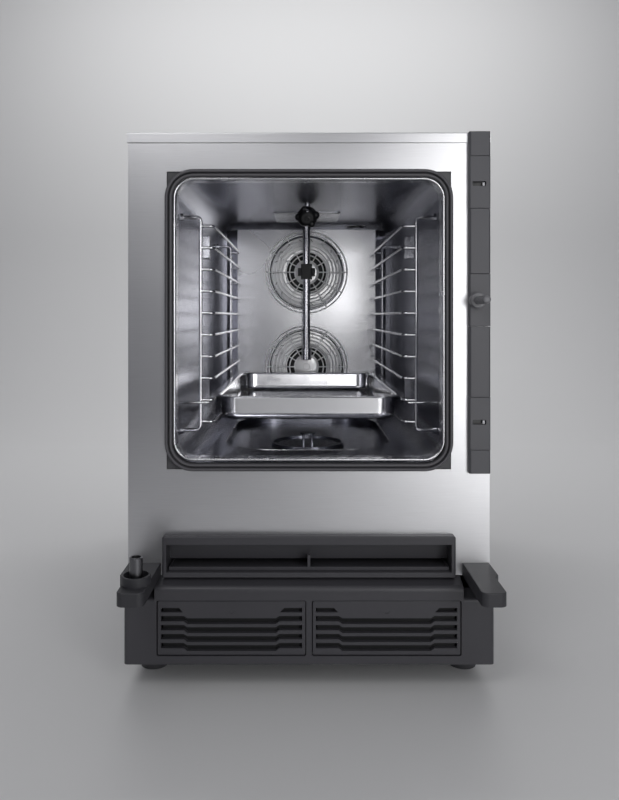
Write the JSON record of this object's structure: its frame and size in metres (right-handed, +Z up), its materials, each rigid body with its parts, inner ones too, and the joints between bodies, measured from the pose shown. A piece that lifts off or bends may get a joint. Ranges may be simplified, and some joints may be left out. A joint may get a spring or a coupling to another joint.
{
  "type": "combi steamer oven",
  "caption": "Compact combi steamer oven shown without its door: steel cabinet, fan-heated steam cavity with wire racks and pan, lock column, and plastic base with louvred drawers.",
  "frame": {"origin": "on the floor, in the middle of the overall width and depth", "axes": "+X to the right seen from the front, +Y to the back, +Z up"},
  "size_m": [0.538, 0.98, 0.846],
  "materials": {
    "brushed_panel": "brushed satin stainless",
    "cavity_steel": "polished stainless",
    "baffle_steel": "bright fine brushed stainless",
    "bright_lip": "polished stainless edge",
    "dark_seal": "dark satin",
    "gasket_rubber": "matte",
    "wool": "mineral wool blanket",
    "chrome_wire": "electropolished wire",
    "fan_steel": "satin stainless",
    "motor_grey": "cast, satin",
    "heater_tube": "heat-tinted sheath",
    "tube_steel": "polished tube",
    "black_polymer": "satin black",
    "column_grey": "satin dark grey",
    "striker_grey": "satin grey",
    "base_plastic": "satin anthracite",
    "base_paint": "dark powder coat",
    "bracket_paint": "dark powder coat",
    "pin_steel": "blackened steel",
    "tub_plastic": "moulded",
    "runner_steel": "zinc-plated",
    "canister_plastic": "blow-moulded",
    "pan_steel": "polished stainless",
    "box_steel": "plated sheet",
    "valve_body": "moulded",
    "gland_plastic": "moulded",
    "drain_plastic": "moulded",
    "vent_steel": "satin stainless",
    "foot_metal": "dark foot with rubber pad",
    "screw_steel": "stainless"
  },
  "bodies": {
    "cabinet": {"front_panel": "brushed_panel", "left_panel": "brushed_panel", "right_panel": "brushed_panel", "rear_panel": "brushed_panel", "top_cover": "brushed_panel", "cavity_liner": "cavity_steel", "ceiling_plate": "cavity_steel", "fan_baffle": "baffle_steel", "opening_trim": "bright_lip", "seal_plate": "dark_seal", "door_gasket": "gasket_rubber", "insulation": "wool", "upper_fan_guard": "chrome_wire", "lower_fan_guard": "chrome_wire", "left_rack": "chrome_wire", "right_rack": "chrome_wire", "rack_brackets": "chrome_wire", "upper_fan_motor": "motor_grey", "lower_fan_motor": "motor_grey", "heating_elements": "heater_tube", "steam_tube": "tube_steel", "steam_nozzle": "tube_steel", "wash_stem": "tube_steel", "tube_clamp": "black_polymer", "column_cap_top": "column_grey", "latch_block_upper": "column_grey", "column_cover_upper": "column_grey", "striker_block": "column_grey", "column_cover_lower": "column_grey", "latch_block_lower": "column_grey", "column_cap_bottom": "column_grey", "striker_pin": "striker_grey", "base_fascia": "base_plastic", "drip_housing": "base_plastic", "base_frame": "base_paint", "hinge_bracket": "bracket_paint", "support_bracket": "bracket_paint", "hinge_bush": "bracket_paint", "hinge_pin": "pin_steel", "drawer_runners": "runner_steel", "control_box": "box_steel", "flap_actuator": "box_steel", "water_inlet": "valve_body", "cable_gland": "gland_plastic", "drain_pipe": "drain_plastic", "exhaust_chimney": "vent_steel", "levelling_feet": "foot_metal", "cover_screws": "screw_steel"},
    "upper_fan": {"upper_impeller": "fan_steel"},
    "lower_fan": {"lower_impeller": "fan_steel"},
    "wash_nozzle": {"wash_ball": "black_polymer"},
    "left_drawer": {"left_drawer_front": "base_plastic", "left_drawer_tub": "tub_plastic", "care_canister": "canister_plastic"},
    "right_drawer": {"right_drawer_front": "base_plastic", "right_drawer_tub": "tub_plastic"},
    "pan": {"gn_pan": "pan_steel"},
    "tray": {"drip_tray": "base_plastic"},
    "strainer": {"drain_strainer": "cavity_steel"},
    "flap": {"vent_flap": "vent_steel"}
  },
  "joints": [
    {"name": "upper_fan_spin", "type": "hinge", "parent": "cabinet", "child": "upper_fan", "pos_m": [0, 0.332, 0.6465], "axis": [0, 1, 0], "continuous": true},
    {"name": "lower_fan_spin", "type": "hinge", "parent": "cabinet", "child": "lower_fan", "pos_m": [0, 0.332, 0.4235], "axis": [0, 1, 0], "continuous": true},
    {"name": "wash_nozzle_spin", "type": "hinge", "parent": "cabinet", "child": "wash_nozzle", "pos_m": [0, -0.018, 0.7376], "axis": [0, 0, 1], "continuous": true},
    {"name": "left_drawer_slide", "type": "slide", "parent": "cabinet", "child": "left_drawer", "axis": [0, -1, 0], "range_m": [0, 0.24]},
    {"name": "right_drawer_slide", "type": "slide", "parent": "cabinet", "child": "right_drawer", "axis": [0, -1, 0], "range_m": [0, 0.24]},
    {"name": "pan_slide", "type": "slide", "parent": "cabinet", "child": "pan", "axis": [0, -1, 0], "range_m": [0, 0.46]},
    {"name": "tray_slide", "type": "slide", "parent": "cabinet", "child": "tray", "axis": [0, -1, 0], "range_m": [0, 0.06]},
    {"name": "strainer_lift", "type": "slide", "parent": "cabinet", "child": "strainer", "axis": [0, 0, 1], "range_m": [0, 0.03]},
    {"name": "flap_turn", "type": "hinge", "parent": "cabinet", "child": "flap", "pos_m": [0.12, 0.332, 0.798], "axis": [1, 0, 0], "range_deg": [0, 90]}
  ]
}
